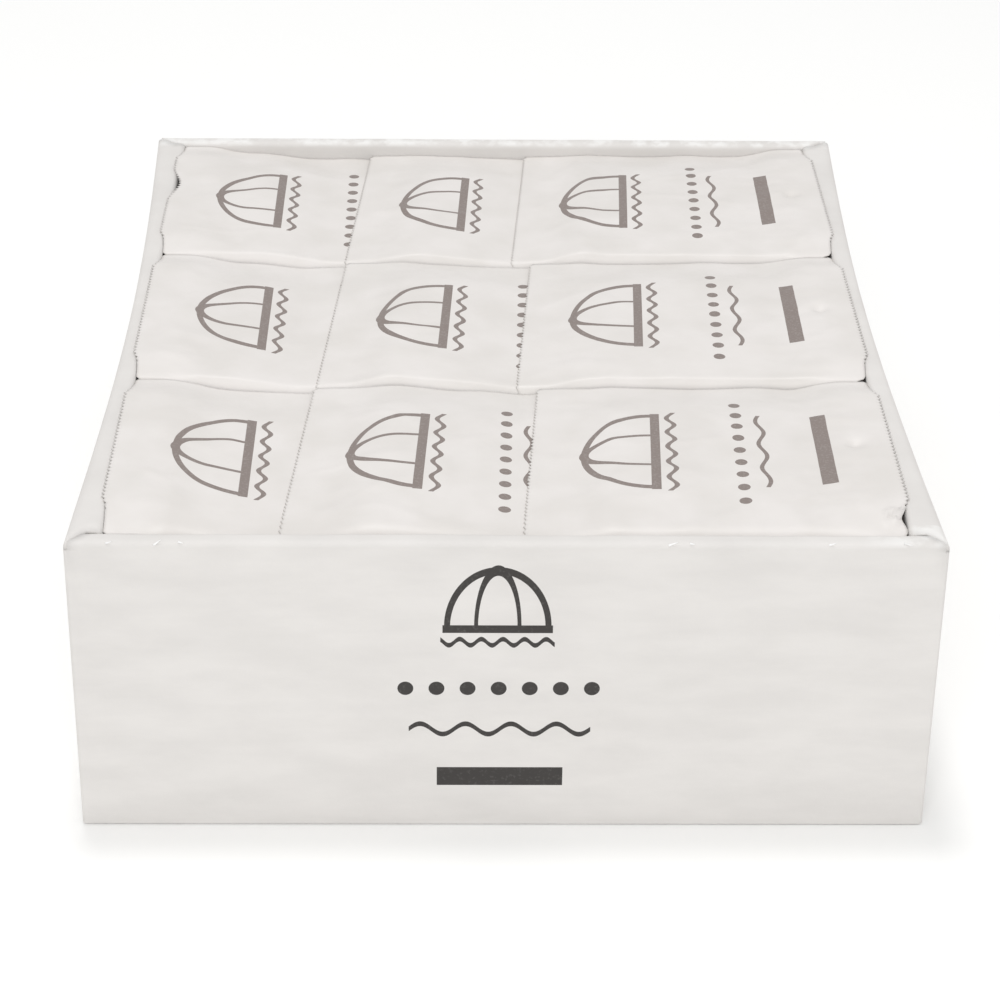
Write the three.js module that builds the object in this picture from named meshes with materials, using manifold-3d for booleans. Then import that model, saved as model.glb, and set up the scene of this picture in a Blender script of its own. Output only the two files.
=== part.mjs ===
// An open-topped corrugated carton of shower caps, each cap folded flat in its own flow-wrapped sachet.
// Six flat stacks of sachets fill the carton, and nine more lie on top of them in three rows. Each row is
// fanned from left to right, so a sachet lies draped over the right end of its left neighbour.
// Millimetres, +Z up, +X to the right, front face towards -Y, origin at the centre of the base.

import * as THREE from "three";
import { mergeVertices } from "three/addons/utils/BufferGeometryUtils.js";
import Module from "manifold-3d";

const wasm = await Module();
wasm.setup();

// Sachet: a sleeve of film closed by a fin seal underneath and by a crimped, pinked seal at each end
const SACHET_LENGTH = 105; // along X, over both crimped ends
const SACHET_WIDTH = 93; // along Y, between the two folded sides
const SACHET_BODY = 3; // thickness over the folded cap
const FILM = 0.3; // the real film is about 0.05, too thin for a sound solid
const CRIMP = 8; // length of each crimped seal
const SHOULDER = 6; // length over which the film rises from a seal to the cap
const ROLL = 12; // width over which the film rounds down to each folded side
const FRONT_NOSE = 1.2; // how far the front fold is drawn up by the elastic behind it
const TOOTH_PITCH = 4.65; // pinked edge of the crimped seals
const TOOTH_DEPTH = 1.6;
const FIN_WIDTH = 9; // fin seal, folded flat against the underside
const FIN_THICK = 0.5;
const VENT_LENGTH = 6; // slit beside the fin that lets the air out
const VENT_WIDTH = 0.6;
const VENT_FROM_CENTRE = 20;
const BODY_STEPS = 7; // faces along the body of a sachet, which bends where it is draped

// Cap: a bonnet of thin film with an elastic band in its hem, folded in three
const CAP_LAYERS = 3;
const CAP_LAYER = 0.4; // one layer of gathered film
const ELASTIC_WIDTH = 2.5;

// Contents of the carton
const STACK_COUNT = 24; // sachets in each flat stack
const STACK_STEP = 3.5; // height that each of them takes up
const FAN_STEP = 61; // from one sachet of a row to the next
const CENTRE_SHIFT = { rear: 4, middle: -2, front: -9 }; // the centre sachet of each row, from midway
const ROW_GAP = 0.6;
const DRAPE_SLOPE = 0.1; // steepest fall of a sachet off the end of its neighbour

// Carton: walls, top flaps folded down inside them, bottom flaps and the glued corner joint
const BOARD = 1.6; // fine-fluted corrugated board
const TOP_FLAP = 45; // length of the top flaps below the rim
const FLAP_SPRING = 0.6; // how far they spring back from the walls and the glued joint
const MITRE_GAP = 0.5; // from the ends of neighbouring top flaps to the mitre between them
const WALL_BOW = 4.5; // how far the side walls are drawn in, halfway along the rim
const BOW_STEPS = 12;
const FOLD_STEPS = 6; // faces round the fold at the rim
const BOTTOM_SEAM = 1; // between the two outer bottom flaps
const MINOR_FLAP = 70; // length of the inner bottom flaps
const GLUE_FLAP = 32; // width of the glued corner joint
const GLUE_FLAP_CUT = 6; // taper at its ends
const SIDE_GAP = 1; // from the fan of sachets to the narrowest part of the carton
const REAR_GAP = 2.5; // from the rows of sachets to the rear and front of the carton
const FRONT_GAP = 5.3;
const HEADROOM = 9.2; // from the stacks up to the rim

const GAP = 0.3; // between pieces that touch

const ROWS = ["rear", "middle", "front"];
const COLUMNS = ["left", "centre", "right"];

// Sizes that follow from these
const RIM = 3 * BOARD + 2 * GAP + FLAP_SPRING; // a wall, the glued joint and the flap folded down inside them
const FAN_WIDTH = SACHET_LENGTH + 2 * FAN_STEP;
const ROW_PITCH = SACHET_WIDTH + ROW_GAP;
const CARTON_WIDTH = FAN_WIDTH + 2 * (SIDE_GAP + WALL_BOW + RIM);
const CARTON_DEPTH = 2 * ROW_PITCH + SACHET_WIDTH + REAR_GAP + FRONT_GAP + 2 * RIM;
const FLOOR = 2 * BOARD + 2 * GAP; // on top of both layers of bottom flaps
const STACK_TOP = FLOOR + STACK_COUNT * STACK_STEP;
const CARTON_HEIGHT = STACK_TOP + HEADROOM;
const WALL_HEIGHT = CARTON_HEIGHT - RIM / 2 - GAP; // up to where the fold of the rim begins
const REAR_ROW_Y = CARTON_DEPTH / 2 - RIM - REAR_GAP - SACHET_WIDTH / 2;
const CAVITY_LENGTH = SACHET_LENGTH - 2 * (CRIMP + SHOULDER);
const CAVITY_WIDTH = SACHET_WIDTH - 2 * ROLL;
const CAVITY_HEIGHT = SACHET_BODY - 2 * FILM;

const BOARD_WHITE = new THREE.MeshStandardMaterial({ color: 0xe9e5e2, roughness: 0.85, metalness: 0 });
const WRAP_WHITE = new THREE.MeshStandardMaterial({ color: 0xe6e2e0, roughness: 0.6, metalness: 0 });
const CAP_FILM = new THREE.MeshStandardMaterial({ color: 0xf1f3f3, roughness: 0.35, metalness: 0 });
const ELASTIC_WHITE = new THREE.MeshStandardMaterial({ color: 0xf4f1ea, roughness: 0.8, metalness: 0 });

function piece(name, geometry, material, x = 0, y = 0, z = 0) {
  const mesh = new THREE.Mesh(geometry, material);
  mesh.name = name;
  mesh.position.set(x, y, z);
  return mesh;
}

// Moves every vertex of a geometry to where place(vertex) puts it.
function reshape(geometry, place) {
  const positions = geometry.getAttribute("position");
  const vertex = new THREE.Vector3();
  for (let i = 0; i < positions.count; i++) {
    place(vertex.fromBufferAttribute(positions, i));
    positions.setXYZ(i, vertex.x, vertex.y, vertex.z);
  }
  geometry.computeVertexNormals();
  return geometry;
}

// A closed geometry as a solid for joining and cutting, and back again.
function solidOf(geometry) {
  const bare = new THREE.BufferGeometry();
  bare.setAttribute("position", geometry.getAttribute("position"));
  bare.setIndex(geometry.getIndex());
  const merged = mergeVertices(bare, 1e-4);
  return new wasm.Manifold(
    new wasm.Mesh({
      numProp: 3,
      vertProperties: merged.getAttribute("position").array,
      triVerts: new Uint32Array(merged.getIndex().array),
    }),
  );
}

function geometryOf(solid) {
  const mesh = solid.getMesh();
  const geometry = new THREE.BufferGeometry();
  geometry.setAttribute("position", new THREE.BufferAttribute(new Float32Array(mesh.vertProperties), 3));
  geometry.setIndex(new THREE.BufferAttribute(new Uint32Array(mesh.triVerts), 1));
  const faceted = geometry.toNonIndexed();
  faceted.computeVertexNormals();
  return faceted;
}

// Evenly spaced values from first to last, both included.
function spaced(first, last, steps) {
  return Array.from({ length: steps + 1 }, (_, i) => first + ((last - first) * i) / steps);
}

// Sachets. In its own frame a sachet lies along X from 0 to SACHET_LENGTH, with Y from its middle.

// How far the film has risen, from 0 to 1, at a distance from a crimped end and from a folded side.
function endRise(fromEnd) {
  return THREE.MathUtils.smoothstep(fromEnd, CRIMP, CRIMP + SHOULDER);
}

function sideRise(fromSide) {
  return Math.sin((Math.PI / 2) * Math.min(1, fromSide / ROLL));
}

// Thickness of a sachet and its fin, over the middle of its width.
function profile(x) {
  return FIN_THICK + 2 * FILM + (SACHET_BODY - 2 * FILM) * endRise(Math.min(x, SACHET_LENGTH - x));
}

// Height of the underside of each sachet of a row above the stacks, as functions of the sachet's own x.
function drape(lefts) {
  const undersides = [];
  lefts.forEach((left, column) => {
    if (column === 0) {
      undersides.push(() => GAP);
      return;
    }
    const step = left - lefts[column - 1];
    const below = undersides[column - 1];
    const touching = spaced(0, SACHET_LENGTH, Math.round(SACHET_LENGTH)).map((x) => ({
      x: x - step,
      top: below(x) + profile(x) + GAP,
    }));
    undersides.push((x) =>
      touching.reduce((high, at) => Math.max(high, at.top - DRAPE_SLOPE * Math.abs(x - at.x)), GAP),
    );
  });
  return undersides;
}

// A block of the given length, width and height along the sachet, bent to follow its underside.
function bentBlock(length, width, height, lift, underside) {
  return reshape(new THREE.BoxGeometry(length, width, height, BODY_STEPS, 1, 1), (vertex) => {
    vertex.x += SACHET_LENGTH / 2;
    vertex.z += height / 2 + lift + underside(vertex.x);
  });
}

// The pillow shape of the filled sleeve, a little too long at both ends for the pinked edges to be cut.
function pillow(underside) {
  const overcut = TOOTH_DEPTH;
  const fromLeft = [-overcut, CRIMP, CRIMP + SHOULDER / 2];
  const fromRight = fromLeft.map((x) => SACHET_LENGTH - x).reverse();
  const body = spaced(CRIMP + SHOULDER, SACHET_LENGTH - CRIMP - SHOULDER, BODY_STEPS);
  const xs = [...fromLeft, ...body, ...fromRight];
  const half = SACHET_WIDTH / 2;
  const ys = [-half, -half + ROLL / 3, -half + ROLL, half - ROLL, half - ROLL / 3, half];
  const grid = new THREE.BoxGeometry(1, 1, 1, xs.length - 1, ys.length - 1, 1);
  return reshape(grid, (vertex) => {
    const x = xs[Math.round((vertex.x + 0.5) * (xs.length - 1))];
    const y = ys[Math.round((vertex.y + 0.5) * (ys.length - 1))];
    const ends = endRise(Math.min(x, SACHET_LENGTH - x));
    const sides = sideRise(half - Math.abs(y));
    const nose = y < 0 ? FRONT_NOSE * ends * (1 - sides) : 0;
    const thickness = 2 * FILM + (SACHET_BODY - 2 * FILM) * ends * sides;
    const upper = vertex.z > 0 ? thickness : 0;
    vertex.set(x, y, underside(x) + FIN_THICK + nose + upper);
  });
}

// The waste beyond the pinked edge of the right-hand end.
function pinkingWaste() {
  const teeth = Math.round(SACHET_WIDTH / TOOTH_PITCH);
  const reach = SACHET_WIDTH / 2 + TOOTH_DEPTH;
  const outline = new THREE.Shape();
  outline.moveTo(2 * TOOTH_DEPTH, reach);
  outline.lineTo(2 * TOOTH_DEPTH, -reach);
  outline.lineTo(-TOOTH_DEPTH, -reach);
  spaced(-SACHET_WIDTH / 2, SACHET_WIDTH / 2, 2 * teeth).forEach((y, i) => {
    outline.lineTo(i % 2 ? 0 : -TOOTH_DEPTH, y);
  });
  outline.lineTo(-TOOTH_DEPTH, reach);
  return new THREE.ExtrudeGeometry(outline, { depth: 4 * SACHET_BODY, bevelEnabled: false });
}

function wrap(underside) {
  const waste = solidOf(pinkingWaste());
  const finSink = FILM / 2;
  const fin = bentBlock(CAVITY_LENGTH, FIN_WIDTH, FIN_THICK + finSink, 0, underside);
  const cavity = bentBlock(CAVITY_LENGTH, CAVITY_WIDTH, CAVITY_HEIGHT, FIN_THICK + FILM, underside);
  const vent = new THREE.BoxGeometry(VENT_LENGTH, VENT_WIDTH, SACHET_BODY);
  const ventX = SACHET_LENGTH / 2 + VENT_FROM_CENTRE;
  vent.translate(ventX, FIN_WIDTH / 2 + VENT_WIDTH, underside(ventX) + FIN_THICK);
  const sleeve = solidOf(pillow(underside))
    .add(solidOf(fin))
    .subtract(solidOf(cavity))
    .subtract(solidOf(vent))
    .subtract(waste.translate(SACHET_LENGTH, 0, underside(SACHET_LENGTH) - SACHET_BODY))
    .subtract(waste.rotate(0, 0, 180).translate(0, 0, underside(0) - SACHET_BODY));
  return geometryOf(sleeve);
}

// Side view of a sheet folded to and fro in CAP_LAYERS layers inside the bent sachet, from the path of the sheet
// offset to either side.
function foldedOutline(underside) {
  const halfLength = CAVITY_LENGTH / 2 - CAP_LAYER - 2 * GAP;
  const pitch = CAP_LAYER + GAP;
  const path = [];
  const follow = (fromMiddle, height) => {
    const x = SACHET_LENGTH / 2 + fromMiddle;
    path.push(new THREE.Vector2(x, underside(x) + FIN_THICK + FILM + GAP + height));
  };
  for (let layer = 0; layer < CAP_LAYERS; layer++) {
    const way = layer % 2 ? -1 : 1;
    const height = CAP_LAYER / 2 + layer * pitch;
    spaced(-halfLength * way, halfLength * way, BODY_STEPS).forEach((x) => follow(x, height));
    if (layer < CAP_LAYERS - 1) {
      follow(way * (halfLength + pitch / 2), height + pitch / 2);
    }
  }
  const side = (direction) =>
    path.map((point, i) => {
      const before = path[Math.max(0, i - 1)];
      const after = path[Math.min(path.length - 1, i + 1)];
      const along = after.clone().sub(before).normalize();
      return new THREE.Vector2(-along.y, along.x).multiplyScalar((direction * CAP_LAYER) / 2).add(point);
    });
  return new THREE.Shape([...side(-1), ...side(1).reverse()]);
}

// The folded sheet between two distances from the front of the cavity.
function foldedCap(front, rear, underside) {
  const sheet = new THREE.ExtrudeGeometry(foldedOutline(underside), { depth: rear - front, bevelEnabled: false });
  return sheet.rotateX(Math.PI / 2).translate(0, rear - CAVITY_WIDTH / 2, 0);
}

function sachet(place, underside) {
  const hemEnd = GAP + ELASTIC_WIDTH;
  const group = new THREE.Group();
  group.add(
    piece(`wrap_${place}`, wrap(underside), WRAP_WHITE),
    piece(`elastic_${place}`, foldedCap(GAP, hemEnd, underside), ELASTIC_WHITE),
    piece(`bonnet_${place}`, foldedCap(hemEnd + GAP, CAVITY_WIDTH - GAP, underside), CAP_FILM),
  );
  return group;
}

function fannedRows() {
  const group = new THREE.Group();
  ROWS.forEach((row, r) => {
    const first = -FAN_WIDTH / 2;
    const lefts = [first, first + FAN_STEP + CENTRE_SHIFT[row], first + 2 * FAN_STEP];
    const undersides = drape(lefts);
    lefts.forEach((left, c) => {
      const one = sachet(`${row}_${COLUMNS[c]}`, undersides[c]);
      one.position.set(left, REAR_ROW_Y - r * ROW_PITCH, STACK_TOP);
      group.add(one);
    });
  });
  return group;
}

// A stack of sachets, drawn in between one and the next along the seals and the folded sides.
function stack() {
  const height = STACK_COUNT * STACK_STEP;
  const levels = 2 * STACK_COUNT;
  const block = new THREE.BoxGeometry(SACHET_LENGTH, SACHET_WIDTH, height, 1, 1, levels);
  return reshape(block, (vertex) => {
    const level = Math.round((vertex.z / height + 0.5) * levels);
    if (level % 2 === 0) {
      vertex.x -= Math.sign(vertex.x) * (CRIMP + SHOULDER / 2);
      vertex.y -= Math.sign(vertex.y) * (ROLL / 4);
    }
    vertex.z += height / 2;
  });
}

function flatStacks() {
  const group = new THREE.Group();
  const middles = { left: (SACHET_LENGTH - FAN_WIDTH) / 2, right: (FAN_WIDTH - SACHET_LENGTH) / 2 };
  ROWS.forEach((row, r) => {
    Object.entries(middles).forEach(([side, x]) => {
      group.add(piece(`sachet_stack_${row}_${side}`, stack(), WRAP_WHITE, x, REAR_ROW_Y - r * ROW_PITCH, FLOOR));
    });
  });
  return group;
}

// Carton

// How far a wall is drawn in at a point: most at the rim and halfway along, not at all at its corners and the base.
function drawnIn(most, wallLength, vertex) {
  return most * Math.sin(Math.PI * (vertex.y / wallLength + 0.5)) * (vertex.z / CARTON_HEIGHT);
}

// Section of a top flap, across the wall from its outer face and up: it carries on from the wall's top edge, turns
// over in the fold of the rim and hangs down inside.
function flapSection() {
  const fold = RIM / 2;
  const foldHeight = CARTON_HEIGHT - fold;
  const lowEdge = CARTON_HEIGHT - TOP_FLAP;
  const outline = new THREE.Shape();
  outline.moveTo(0, foldHeight);
  outline.absarc(fold, foldHeight, fold, Math.PI, 0, true);
  outline.lineTo(RIM, lowEdge);
  outline.lineTo(RIM - BOARD, lowEdge);
  outline.lineTo(RIM - BOARD, foldHeight);
  outline.absarc(fold, foldHeight, fold - BOARD, 0, Math.PI, false);
  return outline;
}

// A top flap along Y, with X across its wall from the outer face, mitred at both ends. The fold follows the wall, which
// may be drawn in, and the flap below it hangs straight beside the sachets.
function topFlap(wallLength, steps, bow) {
  const settings = { depth: wallLength, steps, curveSegments: FOLD_STEPS, bevelEnabled: false };
  const flap = new THREE.ExtrudeGeometry(flapSection(), settings);
  flap.rotateX(Math.PI / 2).translate(0, wallLength / 2, 0);
  return reshape(flap, (vertex) => {
    const turned = Math.min(1, vertex.x / (RIM - BOARD));
    vertex.x += THREE.MathUtils.lerp(drawnIn(bow, wallLength, vertex), bow, turned);
    vertex.y *= 1 - (vertex.x + MITRE_GAP) / (wallLength / 2);
  });
}

function endWalls() {
  const group = new THREE.Group();
  [["front", -1], ["back", 1]].forEach(([name, way]) => {
    const panel = new THREE.BoxGeometry(CARTON_WIDTH, BOARD, WALL_HEIGHT);
    group.add(piece(`${name}_panel`, panel, BOARD_WHITE, 0, (way * (CARTON_DEPTH - BOARD)) / 2, WALL_HEIGHT / 2));
    const flap = topFlap(CARTON_WIDTH, 1, 0).rotateZ((-way * Math.PI) / 2);
    group.add(piece(`top_flap_${name}`, flap, BOARD_WHITE, 0, (way * CARTON_DEPTH) / 2, 0));
  });
  return group;
}

function sideWalls() {
  const group = new THREE.Group();
  const panelLength = CARTON_DEPTH - 2 * (BOARD + GAP);
  [["left", -1], ["right", 1]].forEach(([name, way]) => {
    const panel = new THREE.BoxGeometry(BOARD, panelLength, WALL_HEIGHT, 1, BOW_STEPS, 1);
    panel.translate((way * (CARTON_WIDTH - BOARD)) / 2, 0, WALL_HEIGHT / 2);
    reshape(panel, (vertex) => {
      vertex.x -= way * drawnIn(WALL_BOW, CARTON_DEPTH, vertex);
    });
    group.add(piece(`${name}_panel`, panel, BOARD_WHITE));
    const flap = topFlap(CARTON_DEPTH, BOW_STEPS, WALL_BOW).rotateZ(way > 0 ? Math.PI : 0);
    group.add(piece(`top_flap_${name}`, flap, BOARD_WHITE, (way * CARTON_WIDTH) / 2));
  });
  return group;
}

// The tab of the left wall that is glued to the inside of the back wall.
function glueFlap() {
  const bottom = FLOOR;
  const top = WALL_HEIGHT;
  const outline = new THREE.Shape();
  outline.moveTo(0, bottom);
  outline.lineTo(GLUE_FLAP, bottom + GLUE_FLAP_CUT);
  outline.lineTo(GLUE_FLAP, top - GLUE_FLAP_CUT);
  outline.lineTo(0, top);
  const tab = new THREE.ExtrudeGeometry(outline, { depth: BOARD, bevelEnabled: false }).rotateX(Math.PI / 2);
  const x = -CARTON_WIDTH / 2 + BOARD + GAP;
  return piece("glue_flap", tab, BOARD_WHITE, x, CARTON_DEPTH / 2 - BOARD - GAP, 0);
}

// Two long flaps that meet in a seam underneath, and two short ones on top of them.
function bottomFlaps() {
  const group = new THREE.Group();
  const width = CARTON_WIDTH - 2 * (BOARD + GAP);
  const depth = CARTON_DEPTH - 2 * (BOARD + GAP);
  const majorDepth = (depth - BOTTOM_SEAM) / 2;
  const minorHeight = BOARD + GAP + BOARD / 2;
  [["front", -1], ["back", 1]].forEach(([name, way]) => {
    const flap = new THREE.BoxGeometry(width, majorDepth, BOARD);
    group.add(piece(`bottom_flap_${name}`, flap, BOARD_WHITE, 0, (way * (depth - majorDepth)) / 2, BOARD / 2));
  });
  [["left", -1], ["right", 1]].forEach(([name, way]) => {
    const flap = new THREE.BoxGeometry(MINOR_FLAP, depth, BOARD);
    group.add(piece(`bottom_flap_${name}`, flap, BOARD_WHITE, (way * (width - MINOR_FLAP)) / 2, 0, minorHeight));
  });
  return group;
}

const carton = new THREE.Group();
carton.add(endWalls(), sideWalls(), glueFlap(), bottomFlaps());

const showerCapCarton = new THREE.Group();
showerCapCarton.name = "shower_cap_carton";
showerCapCarton.add(carton, flatStacks(), fannedRows());

export default showerCapCarton;
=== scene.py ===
"""Looks of an open carton of shower caps, each cap folded flat in its own flow-wrapped sachet.

Pieces are shaped in millimetres in the frame of the CAD model (X to the right, Y to the rear, Z up,
origin under the middle of the carton) and turned to metres when they are finished.
"""

import logging
import math
from collections.abc import Callable, Iterable, Mapping, Sequence
from dataclasses import dataclass, field, replace
from enum import Enum
from typing import Union

import bmesh
import bpy
from mathutils import Matrix, Vector, noise


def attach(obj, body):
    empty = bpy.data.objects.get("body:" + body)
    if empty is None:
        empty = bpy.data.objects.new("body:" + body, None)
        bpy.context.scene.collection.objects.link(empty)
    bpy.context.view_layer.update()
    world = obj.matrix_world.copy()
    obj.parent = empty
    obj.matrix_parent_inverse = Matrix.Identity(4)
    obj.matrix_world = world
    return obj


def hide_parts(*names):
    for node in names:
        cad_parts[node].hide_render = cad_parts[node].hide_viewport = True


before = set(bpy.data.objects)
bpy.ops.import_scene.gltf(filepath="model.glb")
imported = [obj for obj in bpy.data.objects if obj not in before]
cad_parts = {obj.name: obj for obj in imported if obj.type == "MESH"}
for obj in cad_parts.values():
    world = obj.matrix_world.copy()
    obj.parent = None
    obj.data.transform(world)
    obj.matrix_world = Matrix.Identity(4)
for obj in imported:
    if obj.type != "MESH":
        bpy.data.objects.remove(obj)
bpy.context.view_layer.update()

LOG = logging.getLogger("shower_cap_carton")
MM = 0.001
GAP = 0.3  # between pieces that touch
MERGED = 1e-4  # points that are closer are one
REAR_ROW = 95.0  # Y of the middle of the rear row of sachets
ROW_PITCH = 93.6  # from the middle of one row to the next

Feed = Union[float, Sequence[float], bpy.types.Node, bpy.types.NodeSocket]
Height = Callable[[float], float]
Pair = tuple[float, float]
Tree = bpy.types.NodeTree
Material = bpy.types.Material
Shape = bmesh.types.BMesh
Vert = bmesh.types.BMVert
Edge = bmesh.types.BMEdge


class Row(Enum):
    """Rows of sachets, from the rear to the front."""

    REAR = "rear"
    MIDDLE = "middle"
    FRONT = "front"


class Column(Enum):
    """Sachets of a row, from the lowest to the topmost of the fan."""

    LEFT = "left"
    CENTRE = "centre"
    RIGHT = "right"


class Wall(Enum):
    """Walls of the carton, with the way from the middle of the carton to the wall."""

    FRONT = (0, -1)
    BACK = (0, 1)
    LEFT = (-1, 0)
    RIGHT = (1, 0)


class Ripple(Enum):
    """What a sachet's noise is used for, with the layer of noise that it takes."""

    LUMP = 1
    GATHER = 2
    CREASE = 3
    REAR_FOLD = 4
    CRUSH = 5
    BONNET = 8


def linear(hex_colour: str) -> tuple[float, float, float, float]:
    """Turns an sRGB colour to the linear one that shaders take.

    Args:
        hex_colour: The colour, as "#rrggbb".

    Returns:
        Linear red, green, blue and an alpha of 1.
    """
    parts = [int(hex_colour[i : i + 2], 16) / 255 for i in (1, 3, 5)]
    light = [p / 12.92 if p <= 0.04045 else ((p + 0.055) / 1.055) ** 2.4 for p in parts]
    return (*light, 1.0)


def rise(value: float, low: float, high: float) -> float:
    """Smooth step.

    Args:
        value: Where on the way from low to high.
        low: Where the step starts.
        high: Where it ends.

    Returns:
        0 up to low, 1 from high on, and a smooth rise between them.
    """
    t = min(1.0, max(0.0, (value - low) / (high - low)))
    return t * t * (3 - 2 * t)


def add(
    tree: Tree,
    kind: str,
    feeds: Mapping[str | int, Feed] | Sequence[Feed] = (),
    **settings: object,
) -> bpy.types.Node:
    """Adds a shader node with its settings, values and links.

    Args:
        tree: Node tree of the material or world.
        kind: Node type without its ShaderNode prefix.
        feeds: The inputs in order, or by name or number: a value, a socket, or a node whose first
            output in use is linked.
        settings: Attributes of the node.

    Returns:
        The new node.
    """
    node = tree.nodes.new("ShaderNode" + kind)
    for key, value in settings.items():
        setattr(node, key, value)
    for key, feed in feeds.items() if isinstance(feeds, Mapping) else enumerate(feeds):
        if isinstance(feed, bpy.types.Node):
            feed = next(output for output in feed.outputs if output.enabled)
        if isinstance(feed, bpy.types.NodeSocket):
            tree.links.new(feed, node.inputs[key])
        else:
            node.inputs[key].default_value = feed
    return node


def verts_of(geometry: Iterable[object]) -> list[Vert]:
    """The vertices among what an operator returned."""
    return [g for g in geometry if isinstance(g, Vert)]


def edges_of(geometry: Iterable[object]) -> list[Edge]:
    """The edges among what an operator returned."""
    return [g for g in geometry if isinstance(g, Edge)]


def faces_at(verts: Iterable[Vert]) -> set[bmesh.types.BMFace]:
    """The faces around some vertices."""
    return {face for vertex in verts for face in vertex.link_faces}


def drawn_out(bm: Shape, edges: Sequence[Edge], step: Sequence[float], count: int) -> list[Edge]:
    """Extrudes edges to a strip, step by step.

    Args:
        bm: The shape.
        edges: Edges that the strip starts from.
        step: Way of each step.
        count: Number of steps.

    Returns:
        The last edges of the strip.
    """
    for _ in range(count):
        made = bmesh.ops.extrude_edge_only(bm, edges=edges)["geom"]
        edges = edges_of(made)
        bmesh.ops.translate(bm, vec=step, verts=verts_of(made))
    return edges


def thickened(bm: Shape, thickness: float) -> None:
    """Merges the doubles of a folded sheet and gives it its thickness.

    Args:
        bm: The sheet.
        thickness: Thickness of the solid.
    """
    bmesh.ops.remove_doubles(bm, verts=bm.verts, dist=MERGED)
    bmesh.ops.recalc_face_normals(bm, faces=bm.faces)
    bmesh.ops.solidify(bm, geom=bm.faces[:], thickness=thickness)


def piece_from(bm: Shape, name: str) -> bpy.types.Object:
    """Turns a shape in millimetres into a finished object at the origin, in metres.

    Args:
        bm: The shape, which is freed.
        name: Name of the piece.

    Returns:
        The new object, shaded smooth and linked to the scene.
    """
    bmesh.ops.recalc_face_normals(bm, faces=bm.faces)
    bmesh.ops.scale(bm, vec=(MM, MM, MM), verts=bm.verts)
    for face in bm.faces:
        face.smooth = True
    mesh = bpy.data.meshes.new(name)
    bm.to_mesh(mesh)
    bm.free()
    obj = bpy.data.objects.new(name, mesh)
    bpy.context.scene.collection.objects.link(obj)
    return obj


def dress(obj: bpy.types.Object, body: str, slot: str, *finishes: Material) -> None:
    """Puts a new piece on its body, gives it its finishes and reports it.

    Args:
        obj: The piece.
        body: Body that it rides on.
        slot: Not used.
        finishes: Its materials, in the order of its faces' numbers.
    """
    for finish in finishes:
        obj.data.materials.append(finish)
    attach(obj, body)
    LOG.info("%s: %d faces", obj.name, len(obj.data.polygons))


# Finishes


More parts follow.
